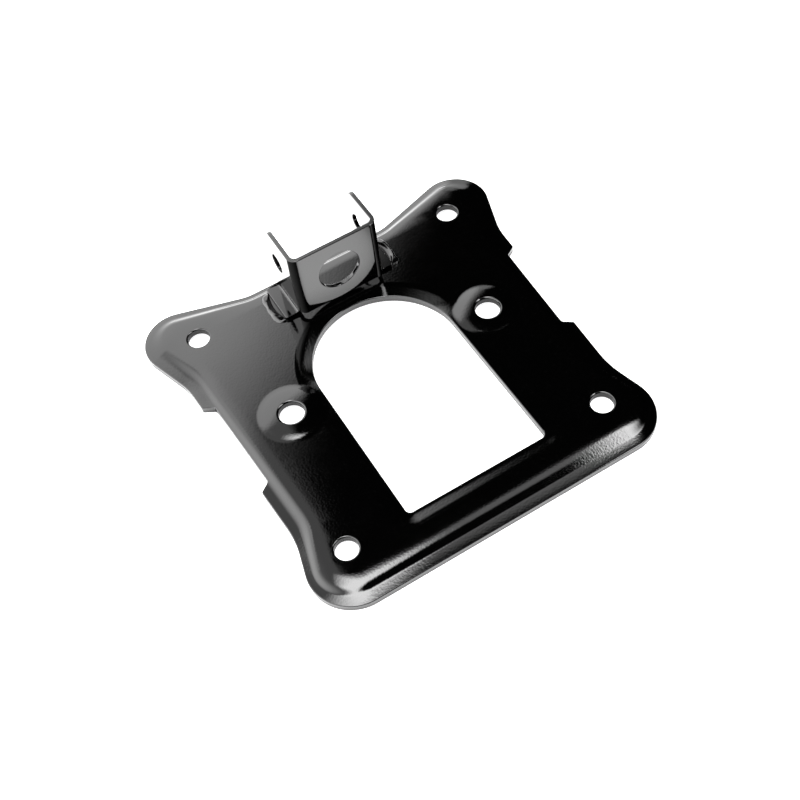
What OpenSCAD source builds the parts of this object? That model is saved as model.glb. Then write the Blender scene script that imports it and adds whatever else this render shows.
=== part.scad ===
// Rear arm mounting plate: a pressed sheet plate with an arched opening, and a folded pivot bracket
// welded across its rear edge. Millimetres. X runs across, Y runs from the front edge to the rear,
// Z is up. Places in the plate are measured from the middle of the front row of holes, with the
// plate's flat top at height 0, and seated() moves everything to stand on the lip.

/* [Plate] */
// Thickness of the plate's sheet
plate_t = 3; // [2:0.1:4]
// Distance between the two front holes
front_pitch = 110; // [104:0.5:118]
// Distance between the two rear holes
rear_pitch = 118; // [112:0.5:126]
// Distance from the front row of holes to the rear row
row_gap = 115.5; // [112:0.5:124]
// Diameter of the four corner holes
corner_hole_d = 9; // [6:0.1:11]

/* [Outline of the blank] */
// From the front row of holes to the straight front edge
front_margin = 21.8; // [20:0.2:26]
// From a front hole sideways to the unrounded front corner
front_reach = 22.6; // [20:0.2:26]
// Radius of the front corners
front_corner_r = 17.3; // [10:0.1:18]
// Width of the plate at the front end of its waist
waist_w = 136.8; // [134:0.2:142]
// From the front row of holes to the front end of the waist
waist_front = 14.1; // [10:0.1:18]
// From the rear end of the waist to the rear row of holes
waist_rear = 19.1; // [16:0.1:24]
// How much further out the waist stands at its rear end, each side
waist_flare = 4.6; // [2:0.1:6]
// Radius of the bend in the side at the front end of the waist
waist_front_r = 40; // [20:1:60]
// Radius of the bend in the side at the rear end of the waist
waist_rear_r = 30; // [20:1:45]
// From a rear hole sideways to the unrounded rear corner
rear_reach = 29.7; // [28:0.1:32]
// From the rear row of holes back to the unrounded rear corner
rear_depth = 27.2; // [25:0.1:30]
// Radius of the rear lobes
rear_lobe_r = 14.7; // [11:0.1:15.5]
// Width of the straight part of the rear edge
rear_straight = 64.8; // [58:0.2:70]
// From the rear row of holes to the straight rear edge
rear_margin = 9.7; // [8:0.1:12]
// Radius of the bends at the ends of the straight rear edge
rear_bend_r = 20; // [8:1:30]

/* [Pressed rim] */
// How far the lip round the plate is pressed down
press_depth = 2; // [1:0.1:4]
// Width of the whole rim along the front, lip and slope
rim_front = 10.5; // [8:0.1:12]
// Width of the whole rim along the sides
rim_side = 8.4; // [6:0.1:10]
// Width of the whole rim along the rear
rim_rear = 5; // [4:0.1:8]
// Share of the rim's width that is the flat lip
lip_share = 0.43; // [0.3:0.01:0.6]

/* [Side notches] */
// From the front row of holes to the notch, on its inner edge
notch_front = 41; // [36:0.5:48]
// Length of the notch along its inner edge
notch_len = 41; // [30:0.5:48]
// How deep the notch cuts into the rim
notch_depth = 4.2; // [2:0.1:4.6]
// How far each end of the notch leans
notch_lean = 2.8; // [0:0.1:5]

/* [Arched opening] */
// Width of the opening
arch_w = 59.5; // [54:0.5:61]
// From the straight front edge of the opening to the centre of its round end
arch_straight = 65.2; // [56:0.2:68]
// Radius in the opening's front corners
arch_corner_r = 2; // [1:0.1:4]
// Width of the sunken strip round the opening
strip_w = 4.4; // [3:0.1:5]
// Width of the slope from the plate down to the strip
strip_slope = 3.8; // [2.5:0.1:5]
// Depth of the strip below the plate
strip_drop = 1; // [0.5:0.1:1.5]

/* [Raised bosses] */
// Distance between the two bosses
boss_pitch = 89; // [86:0.5:94]
// From the front row of holes to the bosses
boss_row = 61.7; // [54:0.1:70]
// Height of a boss above the plate
boss_h = 1.5; // [0.8:0.1:2.2]
// Diameter of the flat top of a boss
boss_top_d = 18.6; // [16:0.2:20]
// Diameter of a boss at its foot
boss_foot_d = 25.4; // [24:0.2:27]
// Diameter of the hole in a boss
boss_hole_d = 10.1; // [6:0.1:12]

/* [Pivot bracket] */
// Thickness of the bracket's sheet
bracket_t = 1.8; // [1.4:0.1:2.6]
// Width of the bracket over its two ears
bracket_w = 38.6; // [34:0.2:44]
// Height of the ears and the web above the plate
bracket_h = 34; // [30:0.5:42]
// From the bracket's front face to the rear end of its ears
ear_len = 22.3; // [20:0.1:24]
// Outer radius of the folds between the web and the ears
fold_r = 4; // [3:0.1:6]
// From the front row of holes to the bracket's front face
bracket_front = 98.7; // [97.6:0.1:100]
// Gap between the plate and the lower edge of the web
web_gap = 3.3; // [2.8:0.1:6]
// Diameter of the hole in the web
web_hole_d = 18; // [10:0.5:20]
// Height of the web hole's centre above the plate
web_hole_z = 18.7; // [16:0.1:20]
// Radius of the upper rear corner of each ear
ear_corner_r = 3.5; // [1:0.1:6]
// Diameter of the pivot hole through both ears
pivot_d = 8.2; // [5:0.1:12]
// From the bracket's front face to the pivot hole's centre
pivot_y = 16.3; // [12:0.1:17]
// Height of the pivot hole's centre above the plate
pivot_z = 19.5; // [15:0.1:24]
// How far each foot stands out from its ear
foot_w = 5.8; // [4:0.1:8]
// Inner radius of the fold between an ear and its foot
foot_fold_r = 1; // [0.4:0.1:2]

/* [Welds] */
// Width of a weld bead on the plate
bead_w = 4.6; // [3:0.1:6]
// Length of a weld bead
bead_len = 17.6; // [10:0.2:18]
// Gap between the bracket's front face and the start of a bead
bead_start = 3.6; // [1:0.1:4]
// Number of ripples along a bead
bead_ripples = 8; // [4:1:12]
// Height of the ripples on a bead
ripple_h = 0.16; // [0:0.02:0.3]

/* [Hidden] */
$fn = 96;
over = 1;              // how far a cutter runs past the surface it cuts
bend_steps = 8;        // steps in each bend of the pressed sheet
arch_r = arch_w / 2;
strip_reach = strip_w + strip_slope;
foot_outer = bracket_w / 2 + foot_w;
fold_in = fold_r - bracket_t;
boss_slope = (boss_foot_d - boss_top_d) / 2;

// The right half of the blank's outline before rounding, from the front to the rear. Each corner
// holds x, y, the rounding radius and the rim's width there.
corners = [
    [front_pitch / 2 + front_reach, -front_margin, front_corner_r, rim_front, rim_side],
    [waist_w / 2, waist_front, waist_front_r, rim_side, rim_side],
    [waist_w / 2 + waist_flare, row_gap - waist_rear, waist_rear_r, rim_side, rim_side],
    [rear_pitch / 2 + rear_reach, row_gap + rear_depth, rear_lobe_r, rim_side, rim_rear],
    [rear_straight / 2, row_gap + rear_margin, rear_bend_r, rim_rear, rim_rear],
];
arc_steps = [18, 5, 5, 20, 4];

function mix(a, b, t) = a + (b - a) * t;
function unit(v) = v / norm(v);
function xy(p) = [p.x, p.y];
function cross2(a, b) = a.x * b.y - a.y * b.x;
// Half a turn of a cosine, from 0 to 1 with a level start and a level end
function ease(t) = (1 - cos(180 * t)) / 2;

// One rounded corner as points [x, y, inward x, inward y, rim width]
function rounded(before, corner, after, steps) =
    let(
        to_before = unit(before - xy(corner)),
        to_after = unit(after - xy(corner)),
        half = acos(to_before * to_after) / 2,
        turn = cross2(-to_before, to_after) > 0 ? 1 : -1,
        centre = xy(corner) + unit(to_before + to_after) * corner[2] / sin(half),
        first = xy(corner) + to_before * corner[2] / tan(half) - centre,
        start = atan2(first.y, first.x),
        sweep = turn * (180 - 2 * half)
    )
    [
        for (i = [0 : steps])
            let(a = start + sweep * i / steps, out = [cos(a), sin(a)])
                concat(centre + corner[2] * out, -turn * out, mix(corner[3], corner[4], ease(i / steps)))
    ];

// The right half of the outline, between the middle of the front edge and that of the rear edge
half_outline =
    let(
        last = len(corners) - 1,
        front_mid = [0, corners[0].y],
        rear_mid = [0, corners[last].y]
    )
    [
        for (i = [0 : last])
            each rounded(
                i == 0 ? front_mid : xy(corners[i - 1]),
                corners[i],
                i == last ? rear_mid : xy(corners[i + 1]),
                arc_steps[i]
            )
    ];
outline = concat(
    half_outline,
    [for (i = [len(half_outline) - 1 : -1 : 0]) let(p = half_outline[i]) [-p[0], p[1], -p[2], p[3], p[4]]]
);
rear_most = max([for (p = outline) p.y]);
mid_y = (rear_most - front_margin) / 2;

// How far a fold's underside stands inward of its top side, for a slope of the given width
function fold_shift(drop, width) = plate_t * tan(atan(drop / width) / 2);

// The rim runs on a little way into the flat plate, and the flat plate ends inside that lap
slimmest_slope = (1 - lip_share) * min(rim_front, rim_side, rim_rear);
lap = fold_shift(press_depth, slimmest_slope) + 0.7;
lap_margin = 0.4;

// The rim's section where the rim has width w, as [inward distance, height]: out along the top
// side and down the slope to the lip, round the cut edge, and back along the underside
function rim_section(w) =
    let(
        slope = (1 - lip_share) * w,
        shift = fold_shift(press_depth, slope),
        top = [for (i = [0 : bend_steps]) [w - slope * i / bend_steps, -press_depth * ease(i / bend_steps)]]
    )
    concat(
        [[w + lap, 0]],
        top,
        [[0, -press_depth], [0, -press_depth - plate_t]],
        [for (i = [bend_steps : -1 : 0]) [top[i].x + shift, top[i].y - plate_t]],
        [[w + lap, -plate_t]]
    );

module seated() {
    translate([0, -mid_y, press_depth + plate_t])
        children();
}

module both_sides() {
    for (side = [0, 1])
        mirror([side, 0, 0])
            children();
}

// The pressed rim: its section carried round the whole outline
module rim() {
    count = len(outline);
    rings = len(rim_section(rim_side));
    points = [
        for (p = outline)
            for (s = rim_section(p[4]))
                [p[0] + p[2] * s.x, p[1] + p[3] * s.x, s.y]
    ];
    walls = [
        for (i = [0 : count - 1])
            for (k = [0 : rings - 1])
                let(
                    here = i * rings,
                    next = (i + 1) % count * rings,
                    k2 = (k + 1) % rings
                )
                each [[here + k, next + k, next + k2], [here + k, next + k2, here + k2]]
    ];
    polyhedron(points, walls, convexity = 6);
}

// The flat middle of the plate, out to inside the rim's lap
module flat_plate() {
    translate([0, 0, -plate_t])
        linear_extrude(plate_t)
            polygon([
                for (p = outline)
                    let(inset = p[4] + lap - lap_margin)
                        [p[0] + p[2] * inset, p[1] + p[3] * inset]
            ]);
}

// Carries a section, drawn as outward distance and height, round the edge of the arched opening
module along_arch() {
    straight = arch_r - arch_corner_r;
    translate([0, arch_straight, 0])
        rotate_extrude(angle = 180)
            translate([arch_r, 0])
                children();
    both_sides() {
        translate([arch_r, arch_straight, 0])
            rotate([90, 0, 0])
                linear_extrude(arch_straight - arch_corner_r)
                    children();
        translate([straight, arch_corner_r, 0])
            rotate([0, 0, -90])
                rotate_extrude(angle = 90)
                    translate([arch_corner_r, 0])
                        children();
    }
    translate([-straight, 0, 0])
        rotate([90, 0, 90])
            linear_extrude(2 * straight)
                mirror([1, 0])
                    children();
}

// The section of the strip's surface: level at the opening, then a slope with a bend at each end,
// which runs a hair past the plate's own surface so that the two cross cleanly
function strip_section(shift) = concat(
    [
        for (i = [0 : bend_steps - 1])
            [strip_w + shift + strip_slope * i / bend_steps, strip_drop * (ease(i / bend_steps) - 1)]
    ],
    [[strip_reach + shift, strip_drop * (1 - ease(1 - 1 / bend_steps))], [strip_reach + shift, over]]
);

module strip_cutter() {
    along_arch()
        polygon(concat([[0, over], [0, -strip_drop]], strip_section(0)));
}

module strip_underside() {
    translate([0, 0, -plate_t])
        along_arch()
            polygon(concat([[0, over], [0, -strip_drop]], strip_section(fold_shift(strip_drop, strip_slope))));
}

module arch_opening() {
    depth = plate_t + press_depth + 2 * over;
    translate([0, 0, over - depth])
        linear_extrude(depth) {
            translate([0, arch_straight])
                circle(arch_r);
            translate([-arch_r, arch_corner_r])
                square([arch_w, arch_straight - arch_corner_r]);
            translate([arch_corner_r - arch_r, 0])
                square([arch_w - 2 * arch_corner_r, arch_corner_r + over]);
            both_sides()
                translate([arch_r - arch_corner_r, arch_corner_r])
                    circle(arch_corner_r);
        }
}

// A boss: a level top and a sloping side that runs on below the plate, down to the sunken strip
module boss_form(inset) {
    run_on = strip_drop + over / 2;
    grade = boss_h / boss_slope;
    translate([0, 0, -run_on])
        cylinder(
            r1 = boss_foot_d / 2 - inset + run_on / grade,
            r2 = boss_top_d / 2 - inset,
            h = boss_h + run_on
        );
}

module at_bosses() {
    both_sides()
        translate([boss_pitch / 2, boss_row, 0])
            children();
}

module boss_dimple() {
    translate([0, 0, -plate_t])
        boss_form(fold_shift(boss_h, boss_slope));
    translate([0, 0, -plate_t - strip_drop - 2 * over])
        cylinder(d = boss_top_d, h = 2 * over);
}

module drill(d) {
    depth = plate_t + press_depth + boss_h + 2 * over;
    translate([0, 0, boss_h + over - depth])
        cylinder(d = d, h = depth);
}

module side_notch() {
    lean = waist_flare / (row_gap - waist_rear - waist_front);
    edge_x = waist_w / 2 + lean * (notch_front - waist_front) - notch_depth;
    rear_y = notch_front + notch_len;
    rear_x = edge_x + lean * notch_len;
    past = notch_depth * 2;
    translate([0, 0, -press_depth - plate_t - over])
        linear_extrude(press_depth + plate_t + 2 * over)
            polygon([
                [edge_x, notch_front],
                [edge_x + past, notch_front - 2 * notch_lean],
                [rear_x + past, rear_y + 2 * notch_lean],
                [rear_x, rear_y],
            ]);
}

// The flat plate with everything that is pressed and cut in it
module worked_plate() {
    difference() {
        union() {
            difference() {
                union() {
                    flat_plate();
                    strip_underside();
                }
                strip_cutter();
            }
            at_bosses()
                boss_form(0);
        }
        at_bosses() {
            boss_dimple();
            drill(boss_hole_d);
        }
        both_sides() {
            translate([front_pitch / 2, 0, 0])
                drill(corner_hole_d);
            translate([rear_pitch / 2, row_gap, 0])
                drill(corner_hole_d);
        }
        arch_opening();
    }
}

module mounting_plate() {
    color("#1b1b1d")
        seated()
            union() {
                worked_plate();
                difference() {
                    rim();
                    both_sides()
                        side_notch();
                }
            }
}

// The bracket's web and ears seen from above, as one bent strip
module bracket_plan() {
    half = bracket_w / 2;
    difference() {
        union() {
            translate([-half, fold_r])
                square([bracket_w, ear_len - fold_r]);
            translate([fold_r - half, 0])
                square([bracket_w - 2 * fold_r, fold_r + over]);
            both_sides()
                translate([half - fold_r, fold_r])
                    circle(fold_r);
        }
        translate([bracket_t - half, fold_r])
            square([bracket_w - 2 * bracket_t, ear_len]);
        translate([fold_r - half, bracket_t])
            square([bracket_w - 2 * fold_r, fold_r]);
        both_sides()
            translate([half - fold_r, fold_r])
                circle(fold_in);
    }
}

// One foot with the fold that joins it to its ear, as seen from the front
module foot_section() {
    half = bracket_w / 2;
    out_r = foot_fold_r + bracket_t;
    translate([half + foot_fold_r, 0])
        square([foot_w - foot_fold_r, bracket_t]);
    intersection() {
        translate([half + foot_fold_r, out_r])
            difference() {
                circle(out_r);
                circle(foot_fold_r);
            }
        translate([half - bracket_t, 0])
            square(out_r);
    }
}

module pivot_bracket() {
    half = bracket_w / 2;
    out_r = foot_fold_r + bracket_t;
    color("#202022")
        seated()
            translate([0, bracket_front, 0])
                difference() {
                    union() {
                        translate([0, 0, out_r])
                            linear_extrude(bracket_h - out_r)
                                bracket_plan();
                        both_sides()
                            translate([0, ear_len, 0])
                                rotate([90, 0, 0])
                                    linear_extrude(ear_len - fold_r)
                                        foot_section();
                    }
                    translate([fold_r - half, -over, 0])
                        cube([bracket_w - 2 * fold_r, bracket_t + 2 * over, web_gap]);
                    translate([0, -over, web_hole_z])
                        rotate([-90, 0, 0])
                            cylinder(d = web_hole_d, h = bracket_t + 2 * over);
                    translate([-half - over, pivot_y, pivot_z])
                        rotate([0, 90, 0])
                            cylinder(d = pivot_d, h = bracket_w + 2 * over);
                    ear_corner_cutter();
                }
}

// Rounds the upper rear corner of both ears
module ear_corner_cutter() {
    translate([-bracket_w / 2 - over, ear_len - ear_corner_r, bracket_h - ear_corner_r])
        rotate([90, 0, 90])
            linear_extrude(bracket_w + 2 * over)
                difference() {
                    square(ear_corner_r + over);
                    circle(ear_corner_r);
                }
}

// A weld bead along the outer edge of a foot: a low rounded section with ripples and tapered ends
module bead() {
    steps = 40;
    arc = 7;
    sections = [
        for (i = [0 : steps])
            let(
                t = i / steps,
                fade = sqrt(max(0.04, 1 - pow(abs(2 * t - 1), 6))),
                wave = 1 + ripple_h * abs(sin(180 * bead_ripples * t)),
                wide = bead_w * fade * (wave + 0.6 * ripple_h * sin(500 * t)) / (1 + ripple_h),
                high = bracket_t * mix(0.45, 0.95, t) * fade * wave / (1 + ripple_h)
            )
            [
                [0, i * bead_len / steps, 0],
                for (k = [0 : arc])
                    let(a = 90 * k / arc)
                        [wide * sin(a), i * bead_len / steps, high * cos(a)],
            ]
    ];
    width = arc + 2;
    points = [for (s = sections) each s];
    walls = [
        for (i = [0 : steps - 1])
            for (k = [0 : width - 1])
                let(
                    a = i * width + k,
                    b = i * width + (k + 1) % width
                )
                each [[a, a + width, b + width], [a, b + width, b]]
    ];
    first = [for (k = [0 : width - 1]) k];
    last = [for (k = [width - 1 : -1 : 0]) steps * width + k];
    polyhedron(points, concat(walls, [first], [last]), convexity = 4);
}

module weld_beads() {
    color("#242426")
        seated()
            both_sides()
                translate([foot_outer, bracket_front + bead_start, 0])
                    bead();
}

mounting_plate();
pivot_bracket();
weld_beads();
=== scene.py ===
# %% [markdown]
# This is a rear arm mounting plate: a sheet of steel, pressed and punched, with a small folded bracket
# welded on its rear edge, all under one coat of gloss black paint. It could be built from boxes with
# bevels, but the paint mirrors the studio, and a mirror shows every flat spot in a bend. So each sheet
# here is made as the press shop makes it: a flat pattern with its holes, and a formula that forms it. The
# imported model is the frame: it says where everything is, and nothing in it is moved.

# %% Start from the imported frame
import math

import bpy
import numpy as np
from mathutils import Matrix, Vector
from mathutils.geometry import delaunay_2d_cdt


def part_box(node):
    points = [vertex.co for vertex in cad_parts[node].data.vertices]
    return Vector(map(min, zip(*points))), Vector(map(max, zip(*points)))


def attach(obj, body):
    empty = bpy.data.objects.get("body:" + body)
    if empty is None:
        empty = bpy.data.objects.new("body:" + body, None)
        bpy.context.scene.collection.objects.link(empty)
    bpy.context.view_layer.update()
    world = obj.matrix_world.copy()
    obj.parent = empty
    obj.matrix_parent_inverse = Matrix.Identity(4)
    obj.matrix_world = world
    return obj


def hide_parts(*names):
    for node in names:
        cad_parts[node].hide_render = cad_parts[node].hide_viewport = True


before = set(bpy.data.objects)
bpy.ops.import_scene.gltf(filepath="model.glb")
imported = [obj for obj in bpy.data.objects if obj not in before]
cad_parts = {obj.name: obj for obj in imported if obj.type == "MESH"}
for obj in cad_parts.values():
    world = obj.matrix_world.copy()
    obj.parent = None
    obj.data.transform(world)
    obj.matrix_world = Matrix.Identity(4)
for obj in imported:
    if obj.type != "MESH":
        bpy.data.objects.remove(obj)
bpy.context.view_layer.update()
scene = bpy.context.scene

# %% [markdown]
# The plate is drawn in millimetres from the middle of its front row of holes, at the height of its flat
# top, because that is how a press shop would measure it. One small function takes such a place to the
# frame, in metres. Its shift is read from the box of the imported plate, so the two can't drift apart.

# %% Sizes of the plate, in millimetres
plate_t, press_depth = 3.0, 2.0
front_pitch, rear_pitch, row_gap, corner_hole_d = 110.0, 118.0, 115.5, 9.0
front_margin, front_reach, front_corner_r = 21.8, 22.6, 17.3
waist_w, waist_front, waist_rear, waist_flare = 136.8, 14.1, 19.1, 4.6
waist_front_r, waist_rear_r = 40.0, 30.0
rear_reach, rear_depth, rear_lobe_r = 29.7, 27.19, 14.7
rear_straight, rear_margin, rear_bend_r = 64.8, 9.7, 20.0
rim_front, rim_side, rim_rear, lip_share = 10.5, 8.4, 5.0, 0.37
front_side, rear_side = 6.8, 6.6
notch_front, notch_len, notch_depth, notch_lean = 41.0, 41.0, 4.2, 2.8
arch_w, arch_straight, arch_corner_r = 59.5, 65.2, 2.0
strip_w, strip_slope, strip_drop, strip_lean = 5.6, 1.4, 0.05, 0.14
boss_pitch, boss_row, boss_h = 89.0, 61.7, 0.85
boss_foot_d, boss_hole_d = 25.2, 10.1

MM = 0.001
plate_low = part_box("mounting_plate")[0]
shift = np.array([0.0, plate_low[1] / MM + front_margin, plate_low[2] / MM + press_depth + plate_t])


def to_frame(points):
    """A place in the plate's own measures, in millimetres, as a place in the frame, in metres."""
    return (np.asarray(points, float) + shift) * MM


print("shift of the plate's measures, mm", shift.round(4))

# %% [markdown]
# A few short formulas do most of the shaping. The ease is half a turn of a cosine: it leaves level and
# arrives level, as sheet does when it is pressed from one height to another. The soft maximum joins two
# heights with a small round instead of a crease, as where a boss runs down into a strip.

# %% Shaping formulas
def ease(t):
    """From 0 to 1 with a level start and a level end: half a turn of a cosine, held outside 0 to 1."""
    return (1 - np.cos(np.pi * np.clip(t, 0, 1))) / 2


def mix(a, b, t):
    """The value a share t of the way from a to b."""
    return a + (b - a) * t


def unit(v):
    """Each row of v divided by its length."""
    return v / np.linalg.norm(v, axis=-1, keepdims=True)


def soft_max(a, b, width):
    """The larger of a and b, raised by a parabola where they differ by less than the width."""
    near = np.maximum(width - np.abs(a - b), 0) / width
    return np.maximum(a, b) + near * near * width / 4


def fold_shift(drop, width):
    """How far inward a fold's underside stands: thickness times the tangent of half the slope's angle."""
    return plate_t * np.tan(np.arctan(drop / width) / 2)


# %% [markdown]
# The blank is the flat piece of sheet before it is pressed, and its outline is a closed run of straight
# pieces and arcs. A Blender curve could draw it, but a curve doesn't tell how far a place lies from it,
# and the rim needs just that. So each corner is given before it is rounded, with its radius and the width
# of the pressed rim before and after it. From that come the arcs' centres and angles, all corners at
# once. The same pieces are sampled into a line of points, and they answer how far any place lies from the
# edge.

# %% Rounded outlines
# An arc reaches this little past its ends, so that no place right at a joint is missed.
hair = 1e-7


class Outline:
    """A closed outline of straight pieces and arcs, from corners [x, y, radius, width before, width after].

    At each corner the arc's centre lies on the bisector, at the radius over the sine of half the angle,
    and the arc touches both straight pieces at the radius over the tangent of half the angle.
    """

    def __init__(self, corners):
        corners = np.asarray(corners, float)
        here = corners[:, :2]
        back = unit(np.roll(here, 1, axis=0) - here)
        on = unit(np.roll(here, -1, axis=0) - here)
        half = np.arccos(np.clip((back * on).sum(axis=1), -1, 1)) / 2
        self.radius = corners[:, 2]
        self.before, self.after = corners[:, 3], corners[:, 4]
        self.turn = np.sign(back[:, 1] * on[:, 0] - back[:, 0] * on[:, 1])
        self.centre = here + unit(back + on) * (self.radius / np.sin(half))[:, None]
        self.first = here + back * (self.radius / np.tan(half))[:, None]
        self.last = here + on * (self.radius / np.tan(half))[:, None]
        out = self.first - self.centre
        self.start = np.arctan2(out[:, 1], out[:, 0])
        self.sweep = self.turn * (np.pi - 2 * half)

    def sample(self, step, least):
        """Points, outward directions and rim widths along the outline, about a step apart."""
        points, outward, widths = [], [], []
        count = len(self.radius)
        for i in range(count):
            pieces = max(least, math.ceil(abs(self.sweep[i]) * self.radius[i] / step))
            share = np.linspace(0, 1, pieces + 1)
            angle = self.start[i] + self.sweep[i] * share
            ray = np.stack([np.cos(angle), np.sin(angle)], axis=1)
            points.append(self.centre[i] + self.radius[i] * ray)
            outward.append(self.turn[i] * ray)
            widths.append(mix(self.before[i], self.after[i], ease(share)))
            following = (i + 1) % count
            run = self.first[following] - self.last[i]
            length = np.linalg.norm(run)
            share = np.linspace(0, 1, math.ceil(length / step) + 1)[1:-1]
            points.append(self.last[i] + run * share[:, None])
            outward.append(np.tile([run[1] / length, -run[0] / length], (len(share), 1)))
            widths.append(mix(self.after[i], self.before[following], share))
        return np.concatenate(points), np.concatenate(outward), np.concatenate(widths)

    def field(self, places):
        """For each place, its distance in from the nearest piece of the outline and the width there."""
        best = np.full(len(places), np.inf)
        width = np.full(len(places), rim_side)
        count = len(self.radius)
        for i in range(count):
            offset = places - self.centre[i]
            way = np.sign(self.sweep[i])
            angle = np.arctan2(offset[:, 1], offset[:, 0]) - self.start[i]
            share = np.mod(way * angle + hair, 2 * np.pi) / abs(self.sweep[i])
            depth = self.turn[i] * (self.radius[i] - np.hypot(offset[:, 0], offset[:, 1]))
            nearer = (share <= 1 + 1000 * hair) & (np.abs(depth) < np.abs(best))
            best = np.where(nearer, depth, best)
            width = np.where(nearer, mix(self.before[i], self.after[i], ease(share)), width)
            following = (i + 1) % count
            run = self.first[following] - self.last[i]
            length = np.linalg.norm(run)
            offset = places - self.last[i]
            share = offset @ run / length ** 2
            depth = (offset[:, 1] * run[0] - offset[:, 0] * run[1]) / length
            nearer = (share >= 0) & (share <= 1) & (np.abs(depth) < np.abs(best))
            best = np.where(nearer, depth, best)
            width = np.where(nearer, mix(self.after[i], self.before[following], share), width)
        return best, width


def mirrored(right):
    """A whole outline from its right half: the half, then its mirror image walked backwards."""
    right = np.asarray(right, float)
    left = right[::-1][:, [0, 1, 2, 4, 3]] * [-1, 1, 1, 1, 1]
    return np.concatenate([right, left])


# %% The blank's outline, and the same with a notch in each side
flare = waist_flare / (row_gap - waist_rear - waist_front)
right_half = [
    [front_pitch / 2 + front_reach, -front_margin, front_corner_r, rim_front, front_side],
    [waist_w / 2, waist_front, waist_front_r, front_side, rim_side],
    [waist_w / 2 + waist_flare, row_gap - waist_rear, waist_rear_r, rim_side, rim_side],
    [rear_pitch / 2 + rear_reach, row_gap + rear_depth, rear_lobe_r, rim_side, rear_side],
    [rear_straight / 2, row_gap + rear_margin, rear_bend_r, rim_rear, rim_rear],
]
inner_front = waist_w / 2 + flare * (notch_front - waist_front) - notch_depth
inner_rear, notch_rear = inner_front + flare * notch_len, notch_front + notch_len
front_run = notch_depth / (notch_depth + notch_lean * flare)
rear_run = notch_depth / (notch_depth - notch_lean * flare)
mouth_r, bottom_r = 0.8, 1.2
notch_corners = [
    [inner_front + notch_depth * front_run, notch_front - notch_lean * front_run, mouth_r],
    [inner_front, notch_front, bottom_r],
    [inner_rear, notch_rear, bottom_r],
    [inner_rear + notch_depth * rear_run, notch_rear + notch_lean * rear_run, mouth_r],
]
notch = [[*corner, rim_side, rim_side] for corner in notch_corners]
blank = Outline(mirrored(right_half))
cut_edge = Outline(mirrored(right_half[:2] + notch + right_half[2:]))
print("corners in the blank", len(blank.radius), "and with the notches", len(cut_edge.radius))

# %% [markdown]
# The press turns the rim down, sinks a strip round the opening and raises two bosses. A cage with a
# subdivision surface could give that, but each bend would be only as even as its cage, and gloss shows
# it. So the form is a height over every place of the flat pattern. The rim drops by an ease over its
# slope, on top of a slow lean that goes on to the edge. Along the front the die pressed harder: the bend
# starts gently and ends sharply. At the outer ends of the rear lobes the rim is almost all lean. Round
# the opening the sheet dips by a small step and leans on to the cut edge, less at the sides than at both
# ends. A boss is a low dome, and its side runs on down until it meets whatever is lower. The underside is
# the same form, a sheet's thickness down, with each fold moved inward a little, so that the sheet keeps
# its thickness round the folds.

# %% The plate's pressed form
front_from, front_to, front_skew, front_level = 22.0, -8.0, 1.0, 0.45
side_lean, front_lean, lobe_lean, lean_run, lobe_run = 0.8, 1.3, 1.7, 4.2, 9.0
lobe_x, lobe_y, lobe_fade = 60.0, 84.0, 16.0
side_strip, front_strip, strip_round = 0.2, 0.72, 1.0
strip_front, strip_front_fade, strip_rear, strip_rear_fade = 4.0, 6.0, 64.0, 16.0
boss_power, boss_round = 3, 0.22


def from_arch(places):
    """Distance out from the edge of the arched opening: a half circle behind, a rounded square in front."""
    x, y = np.abs(places[:, 0]), places[:, 1]
    round_end = np.hypot(x, y - arch_straight) - arch_w / 2
    over_x, over_y = x - (arch_w / 2 - arch_corner_r), arch_corner_r - y
    corner = np.hypot(np.maximum(over_x, 0), np.maximum(over_y, 0))
    square_end = corner + np.minimum(np.maximum(over_x, over_y), 0) - arch_corner_r
    return np.where(y > arch_straight, round_end, square_end)


def pressed_height(places, side):
    """Height of one side of the sheet: side 0 is the top and side 1 the underside, before its thickness.

    The rim falls by its lean over its whole reach, and by the rest of the press depth as an ease over its
    slope. The strip falls by its step, and then by its lean times the distance still left to the arch. A
    boss is its height times one less a power of the distance from its middle over the radius of its foot.
    Where strip and boss meet, the higher one counts, and the rim is added to it.
    """
    x, y = np.abs(places[:, 0]), places[:, 1]
    inward, width = blank.field(places)
    slope = (1 - lip_share) * width
    inward = inward - side * fold_shift(press_depth, slope)
    front = ease((front_from - y) / (front_from - front_to))
    share = np.clip((width - inward) / slope, 0, 1) ** (1 + front_skew * front)
    lobe = ease((x - lobe_x) / lobe_fade) * ease((y - lobe_y) / lobe_fade)
    lean = mix(mix(side_lean, front_lean, front), lobe_lean, lobe)
    reach = width + mix(lean_run, lobe_run, lobe)
    leaning = np.clip((reach - inward) / reach, 0, 1)
    leaned = mix(1 - np.cos(np.pi / 2 * leaning), ease(leaning), front_level * front)
    rim = -(press_depth - lean) * ease(share) - lean * leaned
    out = from_arch(places) - side * fold_shift(strip_drop, strip_slope)
    step = -strip_drop * ease((strip_w + strip_slope - out) / strip_slope)
    front_end = front_strip * ease((strip_front - y) / strip_front_fade)
    ends = np.maximum(front_end, ease((y - strip_rear) / strip_rear_fade))
    strip = step - strip_lean * mix(side_strip, 1.0, ends) * soft_max(strip_w - out, 0.0, strip_round)
    out = np.hypot(x - boss_pitch / 2, y - boss_row) + side * fold_shift(boss_h, boss_foot_d / 4)
    boss = boss_h * (1 - (out / (boss_foot_d / 2)) ** boss_power)
    return rim + soft_max(strip, boss, boss_round)


def plate_form(places, depth):
    """The formed plate: the pattern's own x and y, and a height mixed between top and underside."""
    height = mix(pressed_height(places, 0), pressed_height(places, 1) - plate_t, depth / plate_t)
    return np.column_stack([places, height])


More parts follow.
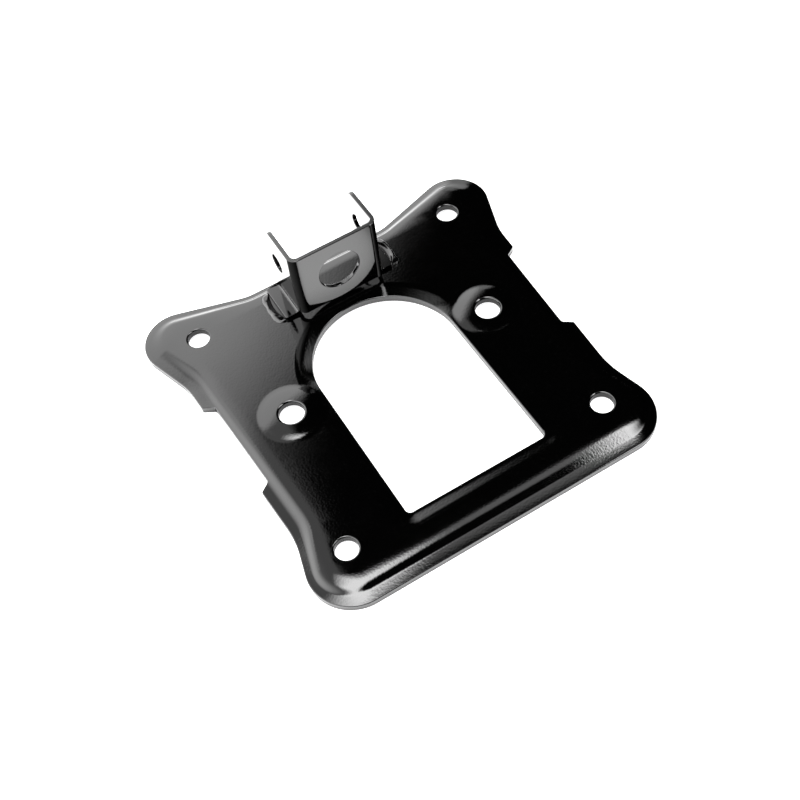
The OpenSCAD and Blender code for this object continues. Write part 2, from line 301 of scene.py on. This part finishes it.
probe = np.array([[boss_pitch / 2 + boss_hole_d / 2, boss_row], [0.0, -front_margin + 1]])
print("boss top and front lip stand at", plate_form(probe, 0.0)[:, 2].round(3))

# %% [markdown]
# A punched and formed sheet could be a solid cut with booleans, but booleans leave ragged triangles, and
# gloss paint shows them. Here the flat pattern is filled with triangles once, by a constrained Delaunay
# triangulation that keeps every edge and hole, and both skins use it. Each cut edge gets a small roll
# over, a wall and a small round below, and every point's normal comes from the form itself.

# %% Fill a flat pattern with triangles
# This many places are worked out at a time, which keeps the arrays small.
batch = 4000


def grid(low, high, step):
    """Points of a regular grid over a rectangle."""
    x = np.arange(low[0], high[0] + step / 2, step)
    y = np.arange(low[1], high[1] + step / 2, step)
    return np.stack(np.meshgrid(x, y), axis=-1).reshape(-1, 2)


def ring(centre, radius, count):
    """Points of a circle, walked clockwise as a hole's edge is: centre plus radius times cosine and sine."""
    angle = -2 * np.pi * np.arange(count) / count
    return np.asarray(centre) + radius * np.stack([np.cos(angle), np.sin(angle)], axis=1)


def loop_directions(loop):
    """Direction out of the material at each point of a loop: its own direction turned to the right."""
    along = unit(np.roll(loop, -1, axis=0) - np.roll(loop, 1, axis=0))
    return np.stack([along[:, 1], -along[:, 0]], axis=1)


def inside(places, loops):
    """True where a ray to the right crosses the loops an odd number of times."""
    odd = np.zeros(len(places), bool)
    for loop in loops:
        a, b = loop, np.roll(loop, -1, axis=0)
        for low in range(0, len(places), batch):
            p = places[low:low + batch]
            spans = (a[:, 1] > p[:, 1:]) != (b[:, 1] > p[:, 1:])
            rise = np.where(a[:, 1] == b[:, 1], 1.0, b[:, 1] - a[:, 1])
            at = a[:, 0] + (p[:, 1:] - a[:, 1]) / rise * (b[:, 0] - a[:, 0])
            odd[low:low + batch] ^= ((spans & (at > p[:, :1])).sum(axis=1) % 2).astype(bool)
    return odd


def clear_of(places, loops, room):
    """True where a place lies further than the room from every point of the loops."""
    free = np.ones(len(places), bool)
    edge = np.concatenate(loops)
    for low in range(0, len(places), batch):
        gap = places[low:low + batch, None, :] - edge[None, :, :]
        free[low:low + batch] = (gap * gap).sum(axis=2).min(axis=1) > room * room
    return free


def triangulate(loops, fill, room, cell):
    """Points and triangles of a pattern: its loops first, then the fill points that are kept."""
    fill = fill[np.unique(np.round(fill / cell), axis=0, return_index=True)[1]]
    fill = fill[clear_of(fill, loops, room)]
    fill = fill[inside(fill, loops)]
    points = np.concatenate(loops + [fill])
    edges, begin = [], 0
    for loop in loops:
        index = begin + np.arange(len(loop))
        edges.append(np.stack([index, np.roll(index, -1)], axis=1))
        begin += len(loop)
    result = delaunay_2d_cdt(points.tolist(), np.concatenate(edges).tolist(), [], 0, 1e-6)
    if len(result[0]) != len(points):
        raise ValueError("the pattern's edges cross each other")
    triangles = np.array(result[2])
    on_edge = (triangles < begin).all(axis=1)
    kept = np.ones(len(triangles), bool)
    kept[on_edge] = inside(points[triangles[on_edge]].mean(axis=1), loops)
    triangles = triangles[kept]
    a, b, c = (points[triangles[:, k]] for k in range(3))
    area = (b - a)[:, 0] * (c - a)[:, 1] - (b - a)[:, 1] * (c - a)[:, 0]
    triangles[area < 0] = triangles[area < 0][:, ::-1]
    return points, triangles


# %% Form a filled pattern into a sheet with two skins and finished edges
def slopes(form, places, depth, across):
    """How the formed place moves for a small step either way along a direction in the pattern."""
    small = 0.01
    return form(places + across * small, depth) - form(places - across * small, depth)


def skin_normals(form, places, depth):
    """Unit normals of a skin: the cross product of its slopes along the pattern's two directions."""
    along_u = slopes(form, places, depth, np.array([1.0, 0.0]))
    along_v = slopes(form, places, depth, np.array([0.0, 1.0]))
    return unit(np.cross(along_u, along_v))


def edge_section(thickness, roll, under):
    """The section of a cut edge as rows [inset, depth, angle]: roll over, wall, and a round below."""
    top = np.radians(np.linspace(90, 0, 6))
    low = np.radians(np.linspace(0, -90, 4))
    upper = np.stack([roll * (1 - np.cos(top)), roll * (1 - np.sin(top)), top], axis=1)
    lower = np.stack([under * (1 - np.cos(low)), thickness - under * (1 + np.sin(low)), low], axis=1)
    return np.concatenate([upper, lower])


def formed_sheet(name, form, thickness, loops, rolls, under, fill, room, cell):
    """A closed sheet: top skin, underside and a finished edge along every loop of its pattern.

    A point of an edge lies at its section's inset and depth under the form. Its normal turns with the
    section's angle from the way out of the material to the way up from the skin.
    """
    outs = [loop_directions(loop) for loop in loops]
    tops = [loop - out * roll for loop, out, roll in zip(loops, outs, rolls)]
    pattern, triangles = triangulate(tops, fill, room, cell)
    low_pattern = pattern.copy()
    on_edges = sum(len(loop) for loop in loops)
    low_pattern[:on_edges] = np.concatenate([loop - out * under for loop, out in zip(loops, outs)])
    points = [form(pattern, 0.0), form(low_pattern, thickness)]
    normals = [skin_normals(form, pattern, 0.0), -skin_normals(form, low_pattern, thickness)]
    quads, begin, made = [], 0, 2 * len(pattern)
    for loop, out, roll in zip(loops, outs, rolls):
        around = np.arange(len(loop))
        rows = [begin + around]
        for inset, depth, angle in edge_section(thickness, roll, under)[1:-1]:
            places = loop - out * inset
            up = skin_normals(form, places, depth)
            away = slopes(form, places, depth, out)
            away = unit(away - up * (away * up).sum(axis=1, keepdims=True))
            points.append(form(places, depth))
            normals.append(away * math.cos(angle) + up * math.sin(angle))
            rows.append(made + around)
            made += len(loop)
        rows.append(len(pattern) + begin + around)
        for upper, lower in zip(rows[:-1], rows[1:]):
            quads.append(np.stack([upper, lower, np.roll(lower, -1), np.roll(upper, -1)], axis=1))
        begin += len(loop)
    skins = [triangles, triangles[:, ::-1] + len(pattern)]
    return add_piece(name, np.concatenate(points), skins + quads, np.concatenate(normals))


def add_piece(name, points, faces, normals):
    """A mesh object from whole arrays of places in millimetres, faces and normals."""
    mesh = bpy.data.meshes.new(name)
    lists = [face for block in faces for face in block.tolist()]
    mesh.from_pydata(to_frame(points).tolist(), [], lists)
    mesh.polygons.foreach_set("use_smooth", np.ones(len(mesh.polygons), bool))
    mesh.normals_split_custom_set_from_vertices(unit(normals).tolist())
    mesh.update()
    piece = bpy.data.objects.new(name, mesh)
    scene.collection.objects.link(piece)
    triangles = sum(len(block) * (block.shape[1] - 2) for block in faces)
    print(name, len(points), "points", triangles, "triangles")
    return piece


# %% [markdown]
# Now the plate itself. Its pattern has eight edges: the outline with its notches, the arched opening, two
# boss holes and four corner holes, and each punched edge rolls over a little more than a sheared one. The
# fill points follow the form: rows along the rim and the strip, rings round the bosses, a fine patch
# where a boss runs down into the strip, and a coarse grid on the flat, where nothing bends.

# %% The plate's edges and fill points
sheared_roll, punched_roll, boss_roll, under_round = 0.35, 0.55, 0.8, 0.22
rim_step, arch_step, flat_step, patch_step = 1.5, 1.3, 4.7, 0.4
outer_loop = cut_edge.sample(rim_step, 8)[0]
# A hair under half the width, so that the two rear arcs keep a straight piece between them.
arch_r = arch_w / 2 - 1e-6
arch_corners = [
    [-arch_w / 2, 0.0, arch_corner_r, 0, 0],
    [arch_w / 2, 0.0, arch_corner_r, 0, 0],
    [arch_w / 2, arch_straight + arch_w / 2, arch_r, 0, 0],
    [-arch_w / 2, arch_straight + arch_w / 2, arch_r, 0, 0],
]
arch_points, arch_out, _ = Outline(arch_corners).sample(arch_step, 14)
hole_places = [(side * front_pitch / 2, 0.0) for side in (-1, 1)]
hole_places += [(side * rear_pitch / 2, row_gap) for side in (-1, 1)]
boss_places = [(side * boss_pitch / 2, boss_row) for side in (-1, 1)]
plate_loops = [outer_loop, arch_points[::-1]]
plate_loops += [ring(place, boss_hole_d / 2, 96) for place in boss_places]
plate_loops += [ring(place, corner_hole_d / 2, 72) for place in hole_places]
plate_rolls = [sheared_roll] * 2 + [boss_roll] * 2 + [punched_roll] * 4

edge_points, edge_out, edge_width = blank.sample(rim_step, 10)
slope_rows = np.concatenate([np.linspace(0, 1, 15), [1.1, 1.22, 1.36, 1.52, 1.7]])
rim_rows = [share * lip_share * edge_width for share in (0.3, 0.65)]
rim_rows += [(lip_share + (1 - lip_share) * share) * edge_width for share in slope_rows]
rim_fill = [edge_points - edge_out * row[:, None] for row in rim_rows]
strip_rows = np.concatenate([[0.9, 1.7, 2.6, 3.5, 4.3], np.linspace(4.9, 7.6, 12)])
strip_fill = [arch_points + arch_out * row for row in strip_rows]
boss_rows = np.linspace(6.4, 14.8, 19)
boss_fill = [ring(place, row, 110) for place in boss_places for row in boss_rows]
patch_near, patch_far = 14, 17
patch = grid((arch_w / 2, boss_row - 15), (boss_pitch / 2, boss_row + 15), patch_step)
from_boss = np.hypot(patch[:, 0] - boss_pitch / 2, patch[:, 1] - boss_row)
patch = patch[(from_boss > patch_near) & (from_boss < patch_far)]
hole_fill = [ring(place, corner_hole_d / 2 + row, 60) for place in hole_places for row in (0.9, 1.8)]
flat_fill = grid((-90, -25), (90, 140), flat_step)
plate_fill = np.concatenate(rim_fill + strip_fill + boss_fill + hole_fill
                            + [patch, patch * [-1, 1], flat_fill])
print("fill points offered", len(plate_fill))

# %% Make the plate
plate = formed_sheet("pressed_plate", plate_form, plate_t, plate_loops, plate_rolls, under_round,
                     plate_fill, 0.45, 0.25)
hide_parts("mounting_plate")
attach(plate, "root")

# %% [markdown]
# The bracket is one strip of thinner sheet, folded. Boxes with bevels would look alike from afar, but
# their folds would have no true inner and outer radius. So this is a pattern and a form again. The
# pattern runs along the strip, with the web in the middle and an ear at each end, and up its height, with
# a foot below each ear. The form folds it twice: round the two upright folds to a U, and at the bottom of
# each ear outwards to a foot. The sheet keeps its thickness in the folds because a deeper place simply
# turns on a smaller or a larger radius.

# %% Sizes of the bracket, in millimetres
bracket_t, bracket_w, bracket_h, ear_len = 1.8, 38.6, 34.0, 22.3
fold_r, bracket_front, web_gap = 4.0, 98.7, 3.3
web_hole_d, web_hole_z, ear_corner_r = 18.0, 18.7, 3.5
pivot_d, pivot_y, pivot_z = 8.2, 16.3, 19.5
foot_w, foot_fold_r = 5.8, 1.0

web_half = bracket_w / 2 - fold_r
fold_run = fold_r * np.pi / 2
ear_begin = web_half + fold_run
ear_end = ear_begin + ear_len - fold_r
foot_top = foot_fold_r + bracket_t
foot_run = foot_fold_r * np.pi / 2
foot_edge = foot_top - foot_run - (foot_w - foot_fold_r)
print("the strip runs", round(ear_end, 2), "mm to each side, and down to", round(foot_edge, 2))


# %% The bracket's folded form
def bracket_form(places, depth):
    """The folded bracket: a U seen from above, and a quarter turn outwards into each foot.

    Along the strip the place is on the web, then turns about the upright fold's centre on the fold's
    radius less the depth, then runs back along the ear. Below the ear it turns about the foot fold's
    centre on that fold's radius plus the depth, and runs out along the foot.
    """
    side, along, up = np.sign(places[:, 0]), np.abs(places[:, 0]), places[:, 1]
    turn = np.clip((along - web_half) / fold_r, 0, np.pi / 2)
    x = np.minimum(along, web_half) + (fold_r - depth) * np.sin(turn)
    y = fold_r - (fold_r - depth) * np.cos(turn) + np.maximum(along - ear_begin, 0)
    tilt = np.clip((foot_top - up) / foot_fold_r, 0, np.pi / 2)
    x = x + (foot_fold_r + depth) * (1 - np.cos(tilt)) + np.maximum(foot_top - foot_run - up, 0)
    z = np.maximum(up, foot_top) - (foot_fold_r + depth) * np.sin(tilt)
    return np.column_stack([side * x, bracket_front + y, z])


probe = np.array([[ear_end, bracket_h], [ear_end, foot_edge]])
print("ear's top and foot's edge at", bracket_form(probe, 0.0).round(2).tolist())

# %% The bracket's edges and fill points
relief_r, foot_corner_r, step_r, step_run = 0.45, 0.8, 1.0, 1.5
bracket_half = [
    [web_half, web_gap, step_r, 0, 0],
    [web_half + step_run, foot_top, step_r, 0, 0],
    [ear_begin, foot_top, relief_r, 0, 0],
    [ear_begin, foot_edge, foot_corner_r, 0, 0],
    [ear_end, foot_edge, foot_corner_r, 0, 0],
    [ear_end, bracket_h, ear_corner_r, 0, 0],
]
bracket_loops = [Outline(mirrored(bracket_half)).sample(0.8, 6)[0]]
bracket_loops += [ring((0.0, web_hole_z), web_hole_d / 2, 96)]
pivot_along = ear_begin + pivot_y - fold_r
bracket_loops += [ring((side * pivot_along, pivot_z), pivot_d / 2, 64) for side in (-1, 1)]
bracket_rolls = [0.3, 0.4, 0.35, 0.35]
fold_columns = np.arange(foot_top, bracket_h + 0.7, 1.4)
fold_stations = web_half + fold_run * np.linspace(0, 1, 13)
fold_fill = np.stack(np.meshgrid(fold_stations, fold_columns), axis=-1).reshape(-1, 2)
foot_columns = np.arange(ear_begin, ear_end, 1.2)
foot_stations = foot_top - foot_run * np.linspace(0, 1, 9)
foot_fill = np.stack(np.meshgrid(foot_columns, foot_stations), axis=-1).reshape(-1, 2)
open_fill = grid((0, foot_edge), (ear_end, bracket_h), 2.3)
half_fill = np.concatenate([fold_fill, foot_fill, open_fill])
bracket_fill = np.concatenate([half_fill, half_fill * [-1, 1]])
print("fill points offered", len(bracket_fill))

# %% Make the bracket
bracket = formed_sheet("folded_bracket", bracket_form, bracket_t, bracket_loops, bracket_rolls, 0.25,
                       bracket_fill, 0.35, 0.15)
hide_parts("pivot_bracket")
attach(bracket, "root")

# %% [markdown]
# A weld bead is a row of small frozen pools, each a little over the one before it. This one was laid
# along the foot's edge with a hot, quick torch, so the pools have run into one smooth crown, and between
# the crown and the foot it left a narrow crevice. A squashed cylinder would look like putty, because it
# has neither. So the bead is a profile carried along the foot's edge: a low start in the crevice, a rise,
# a round crown and a soft toe, with some slow waves in it.

# %% Sizes and surface of a weld bead
bead_w, bead_len, bead_start, bead_pools = 4.6, 17.6, 3.6, 8
crevice_w, crevice_z, crown_at, crown_z = 2.7, 0.2, 0.64, 1.2
mean_width, mean_height, pool_width, pool_height = 0.95, 0.94, 0.006, 0.012
long_wave, short_wave, pool_lag, end_power, toe_power = 0.03, 0.015, 2.2, 6, 0.8
least_climb = 0.12
foot_outer = bracket_w / 2 + foot_w


def bead_surface(along, across, side):
    """A place on the bead, along it and across it from the foot's edge to the toe, each from 0 to 1.

    Width and height close at the ends as the root of one less an even power of the distance from the
    middle. Both swell by a sine at each pool and by two slow sines. Across the bead the height rises by an
    ease out of the crevice, which is a half sine wide, and falls to the toe as a quarter of a cosine to a
    power below one.
    """
    close = np.sqrt(np.maximum(1 - np.abs(2 * along - 1) ** end_power, 0))
    pool = np.sin(2 * np.pi * bead_pools * along - pool_lag * across ** 2)
    slow = long_wave * np.sin(9 * along + 2 * side) + short_wave * np.sin(23 * along + 3 * across + side)
    wide = bead_w * close * (mean_width + pool_width * pool + slow)
    rise = crevice_w * np.sin(np.pi * np.clip(1.15 * along - 0.1, 0, 1)) / bead_w
    climb = ease((across - 0.5 * rise) / np.maximum(rise, least_climb))
    fall = np.cos(np.pi / 2 * np.clip((across - crown_at) / (1 - crown_at), 0, 1)) ** toe_power
    crown = crown_z * close * (mean_height + pool_height * pool + slow)
    z = (crevice_z * close + (crown - crevice_z * close) * climb) * fall
    x = side * (foot_outer + wide * across)
    y = bracket_front + bead_start + bead_len * along + 0 * across
    return np.stack([x, y, z], axis=-1)


def weld_bead(name, side):
    """A closed bead: its surface along rows that are closer at the ends, and a flat base below it."""
    along = (1 - np.cos(np.pi * np.linspace(0.004, 0.996, 150))) / 2
    across = (1 - np.cos(np.pi * np.linspace(0, 1, 40))) / 2
    a, b = np.meshgrid(along, across, indexing="ij")
    skin = bead_surface(a, b, side)
    corner = skin[:, :1].copy()
    corner[:, :, 2] = 0
    rings = np.concatenate([skin, corner], axis=1)
    small = 1e-3
    d_along = bead_surface(a + small, b, side) - bead_surface(a - small, b, side)
    d_across = bead_surface(a, b + small, side) - bead_surface(a, b - small, side)
    flat = np.tile([-side * 0.7, 0.0, -0.7], (len(along), 1, 1))
    normals = np.concatenate([unit(np.cross(d_across, d_along)) * side, flat], axis=1)
    rows, columns = rings.shape[:2]
    index = np.arange(rows * columns).reshape(rows, columns)
    here, beside = index[:-1], np.roll(index, -1, axis=1)[:-1]
    ahead, both = index[1:], np.roll(index, -1, axis=1)[1:]
    quads = np.stack([here, ahead, both, beside], axis=-1).reshape(-1, 4)
    ends = rings[[0, -1]].mean(axis=1)
    points = np.concatenate([rings.reshape(-1, 3), ends])
    start_cap = np.stack([np.full(columns, rows * columns), index[0], np.roll(index[0], -1)], axis=1)
    end_cap = np.stack([np.full(columns, rows * columns + 1), np.roll(index[-1], -1), index[-1]], axis=1)
    faces = [quads, start_cap, end_cap]
    if side > 0:
        faces = [block[:, ::-1] for block in faces]
    normals = np.concatenate([normals.reshape(-1, 3), [[0, -1, 0], [0, 1, 0]]])
    return add_piece(name, points, faces, normals)


# %% Make both beads
beads = [weld_bead("weld_bead_left", -1), weld_bead("weld_bead_right", 1)]
for bead in beads:
    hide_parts("weld_beads")
    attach(bead, "root")

# %% [markdown]
# The paint is almost black in itself: nearly all that the eye sees on it is what it mirrors. A flat black
# with a low roughness would look like plastic film, because real paint has a faint orange peel, a slow
# waviness from the sheet below and a little dust. One node group gives all three, with its own strengths
# in each material, and the shader that mirrors stays in the material itself.

# %% A shared group for the paint's surface
grit_scale, patch_scale, speck_scale = 2600.0, 90.0, 1500.0
speck_from, speck_full = 0.74, 0.8


def paint_surface_group():
    """Node group: peel, waves and grit added up to one height, a mask of slow patches, and one of specks."""
    group = bpy.data.node_groups.new("paint_surface", "ShaderNodeTree")
    sockets = [("Peel Scale", 1250.0), ("Peel", 1.0), ("Wave Scale", 38.0), ("Wave", 1.0), ("Grit", 0.0)]
    for socket_name, value in sockets:
        socket = group.interface.new_socket(socket_name, in_out="INPUT", socket_type="NodeSocketFloat")
        socket.default_value = value
    for socket_name in ("Height", "Patches", "Specks"):
        group.interface.new_socket(socket_name, in_out="OUTPUT", socket_type="NodeSocketFloat")
    nodes, links = group.nodes, group.links
    given, result = nodes.new("NodeGroupInput"), nodes.new("NodeGroupOutput")
    place = nodes.new("ShaderNodeTexCoord").outputs["Object"]

    def noise(scale, detail):
        """A noise over the object's own coordinates, with a scale and a number of finer layers."""
        node = nodes.new("ShaderNodeTexNoise")
        node.inputs["Detail"].default_value = detail
        links.new(place, node.inputs["Vector"])
        if isinstance(scale, float):
            node.inputs["Scale"].default_value = scale
        else:
            links.new(scale, node.inputs["Scale"])
        return node.outputs["Fac"]

    def math_node(operation, a, b):
        """Two values, each a number or a socket, joined by one operation."""
        node = nodes.new("ShaderNodeMath")
        node.operation = operation
        for k, value in enumerate((a, b)):
            if isinstance(value, float):
                node.inputs[k].default_value = value
            else:
                links.new(value, node.inputs[k])
        return node.outputs["Value"]

    peel = math_node("MULTIPLY", noise(given.outputs["Peel Scale"], 1.0), given.outputs["Peel"])
    wave = math_node("MULTIPLY", noise(given.outputs["Wave Scale"], 0.0), given.outputs["Wave"])
    grit = math_node("MULTIPLY", noise(grit_scale, 2.0), given.outputs["Grit"])
    height = math_node("ADD", math_node("ADD", peel, wave), grit)
    links.new(height, result.inputs["Height"])
    links.new(noise(patch_scale, 4.0), result.inputs["Patches"])
    speck = nodes.new("ShaderNodeMapRange")
    speck.inputs["From Min"].default_value = speck_from
    speck.inputs["From Max"].default_value = speck_full
    links.new(noise(speck_scale, 0.0), speck.inputs["Value"])
    links.new(speck.outputs["Result"], result.inputs["Specks"])
    return group


surface_group = paint_surface_group()
print("shared group", surface_group.name, "with", len(surface_group.nodes), "nodes")

# %% Gloss paint, with its own strengths for each part
black, weld_black, pale_dust = (0.0002,) * 3, (0.0006,) * 3, (0.0008,) * 3
sheet_rough, weld_rough = (0.035, 0.065), (0.06, 0.12)
patch_from, patch_full, bump_height = 0.3, 0.7, 2e-6


def gloss_paint(name, colour, rough, peel, wave, grit):
    """A gloss black: base colour with specks of dust, roughness in slow patches, and a fine bump."""
    material = bpy.data.materials.new(name)
    material.use_nodes = True
    nodes, links = material.node_tree.nodes, material.node_tree.links
    shader = nodes["Principled BSDF"]
    surface = nodes.new("ShaderNodeGroup")
    surface.node_tree = surface_group
    surface.inputs["Peel"].default_value = peel
    surface.inputs["Wave"].default_value = wave
    surface.inputs["Grit"].default_value = grit
    blend = nodes.new("ShaderNodeMix")
    blend.data_type = "RGBA"
    blend.inputs[6].default_value = (*colour, 1)
    blend.inputs[7].default_value = (*pale_dust, 1)
    links.new(surface.outputs["Specks"], blend.inputs[0])
    links.new(blend.outputs[2], shader.inputs["Base Color"])
    spread = nodes.new("ShaderNodeMapRange")
    spread.inputs["From Min"].default_value = patch_from
    spread.inputs["From Max"].default_value = patch_full
    spread.inputs["To Min"].default_value = rough[0]
    spread.inputs["To Max"].default_value = rough[1]
    links.new(surface.outputs["Patches"], spread.inputs["Value"])
    links.new(spread.outputs["Result"], shader.inputs["Roughness"])
    relief = nodes.new("ShaderNodeBump")
    relief.inputs["Strength"].default_value = 1.0
    relief.inputs["Distance"].default_value = bump_height
    links.new(surface.outputs["Height"], relief.inputs["Height"])
    links.new(relief.outputs["Normal"], shader.inputs["Normal"])
    return material


finishes = {
    plate: gloss_paint("plate_gloss_black", black, sheet_rough, peel=5.5, wave=20.0, grit=0.0),
    bracket: gloss_paint("bracket_gloss_black", black, sheet_rough, peel=0.8, wave=10.0, grit=0.0),
}
weld_paint = gloss_paint("weld_gloss_black", weld_black, weld_rough, peel=3.0, wave=24.0, grit=0.4)
finishes.update({bead: weld_paint for bead in beads})
for piece, material in finishes.items():
    piece.data.materials.append(material)
print("finishes", sorted({material.name for material in finishes.values()}))

# %% [markdown]
# Black gloss is lit by what surrounds it, so the studio is designed in the mirror. Lamps could stand
# round the part, but on a dome each light can be put just where its mirror image is wanted. The plate
# lies on a bright table under a dark dome, with a soft panel to the left, a large round light low behind,
# a dim wall at the rear and a faint spot above it. Overhead are a softbox, turned by an eighth and with
# its corners cut, a narrow one to the right of it, and a dim card between the two. Each is set by the
# directions in which the plate mirrors it: a fade along a direction is an edge across the dome, and a
# product of fades is a panel with soft edges. Where two lights overlap, the brighter one counts.

# %% Soft lights on the studio's dome
world = bpy.data.worlds.new("soft_studio")
scene.world = world
world.use_nodes = True
dome, wires = world.node_tree.nodes, world.node_tree.links
background = dome["Background"]
heading = dome.new("ShaderNodeTexCoord").outputs["Generated"]


def toward(azimuth, elevation):
    """A direction from its azimuth, from the rear towards the right, and its elevation, in degrees."""
    a, e = math.radians(azimuth), math.radians(elevation)
    return (math.sin(a) * math.cos(e), math.cos(a) * math.cos(e), math.sin(e))


def fade(direction, nothing, full, strength=1.0):
    """Strength that grows smoothly with the heading's share along a direction, from nothing to full."""
    along = dome.new("ShaderNodeVectorMath")
    along.operation = "DOT_PRODUCT"
    along.inputs[1].default_value = direction
    wires.new(heading, along.inputs[0])
    ramp = dome.new("ShaderNodeMapRange")
    ramp.interpolation_type = "SMOOTHSTEP"
    for socket, value in (("From Min", nothing), ("From Max", full), ("To Max", strength)):
        ramp.inputs[socket].default_value = value
    wires.new(along.outputs["Value"], ramp.inputs["Value"])
    return ramp.outputs["Result"]


def round_light(azimuth, elevation, inner, outer, strength):
    """A round soft light: full inside the inner angle round its centre, nothing past the outer one."""
    nothing, full = math.cos(math.radians(outer)), math.cos(math.radians(inner))
    return fade(toward(azimuth, elevation), nothing, full, strength)


def joined(operation, outputs):
    """Several values joined one after another by the same sum, product or choice."""
    total = outputs[0]
    for output in outputs[1:]:
        node = dome.new("ShaderNodeMath")
        node.operation = operation
        wires.new(total, node.inputs[0])
        wires.new(output, node.inputs[1])
        total = node.outputs["Value"]
    return total


diagonal = math.sqrt(0.5)
left, front, rear, right = (-1, 0, 0), (0, -1, 0), (0, 1, 0), (1, 0, 0)
front_left, rear_left = (-diagonal, -diagonal, 0), (-diagonal, diagonal, 0)
front_right = (diagonal, -diagonal, 0)
left_of_panel, left_of_wall = toward(14 - 90, 0), toward(50 - 90, 0)
panel = joined("ADD", [fade(left_of_panel, -0.012, 0.06, 1.2), fade(left_of_panel, 0.18, 0.8, 5.2)])
rear_wall = joined("MULTIPLY", [fade(rear, 0.68, 0.72, 1.9), fade(left_of_wall, 0.02, 0.2)])
rear_light = round_light(-10, 22, 31, 39, 4.2)
rear_spot = round_light(21.5, 45, 1, 4.5, 0.35)
softbox = joined("MULTIPLY", [
    fade(front_left, -0.31, -0.21, 17.0),
    fade(rear_left, -0.19, -0.09),
    fade(left, -0.23, -0.12),
    fade(front, -0.44, -0.37),
    fade(right, -0.36, -0.12),
    fade(front_right, -0.36, -0.1),
])
dim_card = joined("MULTIPLY", [
    fade(front, -0.26, -0.18, 2.0),
    fade(rear, -0.08, 0.06),
    fade(left, -0.42, -0.36),
    fade(right, 0.1, 0.18),
])
side_box = joined("MULTIPLY", [
    fade(right, 0.33, 0.38, 18.0),
    fade(front_left, -0.46, -0.36),
    fade(front, -0.24, -0.17),
    fade(rear, -0.7, -0.6),
    fade(left, -0.68, -0.36),
])
lights = [panel, rear_wall, rear_light, rear_spot, softbox, dim_card, side_box]
lit = joined("MAXIMUM", lights)
seen_directly = dome.new("ShaderNodeLightPath").outputs["Is Camera Ray"]
wires.new(joined("MAXIMUM", [lit, seen_directly]), background.inputs["Strength"])
background.inputs["Color"].default_value = (1, 1, 1, 1)
print("lights on the dome", len(lights))

# %% [markdown]
# The table is lit from below, like a light table, but it is dark where the plate covers it. A plain white
# plane would be mirrored in the bracket as bright under the plate's edge as beside it. An ambient
# occlusion node mends that: it tells how much of the sky each spot of the table sees. The camera's own
# view of the table is kept at paper white, so that it doesn't glare.

# %% The table
table_radiance, seen_glow, table_albedo, table_rough = 2.9, 0.93, 0.5, 0.9
table_half, table_gap, shade_reach, least_sky = 1.6, 0.0002, 0.02, 0.5
table_z = plate_low[2] - table_gap
signs = np.array([[-1, -1], [1, -1], [1, 1], [-1, 1]])
table_corners = np.column_stack([signs * table_half, np.full(4, table_z)])
table_mesh = bpy.data.meshes.new("table")
table_mesh.from_pydata(table_corners.tolist(), [], [(0, 1, 2, 3)])
table = bpy.data.objects.new("table", table_mesh)
scene.collection.objects.link(table)
paper = bpy.data.materials.new("white_table")
paper.use_nodes = True
nodes, links = paper.node_tree.nodes, paper.node_tree.links
shader = nodes["Principled BSDF"]
shader.inputs["Base Color"].default_value = (table_albedo, table_albedo, table_albedo, 1)
shader.inputs["Roughness"].default_value = table_rough
shader.inputs["Specular IOR Level"].default_value = 0.0
shader.inputs["Emission Color"].default_value = (1, 1, 1, 1)
open_sky = nodes.new("ShaderNodeAmbientOcclusion")
open_sky.samples = 4
open_sky.inputs["Distance"].default_value = shade_reach
from_below = nodes.new("ShaderNodeMapRange")
from_below.inputs["From Min"].default_value = least_sky
from_below.inputs["To Max"].default_value = table_radiance
links.new(open_sky.outputs["AO"], from_below.inputs["Value"])
seen = nodes.new("ShaderNodeLightPath").outputs["Is Camera Ray"]
glow = nodes.new("ShaderNodeMix")
glow.inputs["B"].default_value = seen_glow
links.new(seen, glow.inputs["Factor"])
links.new(from_below.outputs["Result"], glow.inputs["A"])
links.new(glow.outputs["Result"], shader.inputs["Emission Strength"])
table.data.materials.append(paper)
print("table at", round(table_z, 5), "lit from below at", table_radiance)

# %% [markdown]
# The camera stands where the photo was taken from: in front, to the left and well above, tipped a little
# about its own axis. The colours are shown plainly, with no film curve, so that white stays white.

# %% The camera
azimuth, elevation, roll = math.radians(-23.44), math.radians(55.17), math.radians(-8.92)
distance, aim = 436.8, np.array([-7.05, 43.61, 0.0])
focal_px, frame_px, sensor = 1149.65, 800, 36.0
back = np.array([math.sin(azimuth) * math.cos(elevation), -math.cos(azimuth) * math.cos(elevation),
                 math.sin(elevation)])
level = unit(np.cross(-back, [0, 0, 1]))
above = np.cross(level, -back)
rightward = math.cos(roll) * level + math.sin(roll) * above
upward = -math.sin(roll) * level + math.cos(roll) * above
spot = to_frame(aim + distance * back)
camera = bpy.data.objects.new("camera", bpy.data.cameras.new("camera"))
scene.collection.objects.link(camera)
camera.data.sensor_width = sensor
camera.data.lens = focal_px / frame_px * sensor
turned = Matrix(np.stack([rightward, upward, back], axis=1)).to_4x4()
camera.matrix_world = Matrix.Translation(Vector(spot)) @ turned
scene.camera = camera
scene.view_settings.view_transform = "Standard"
print("camera at", spot.round(4), "lens", round(camera.data.lens, 2))
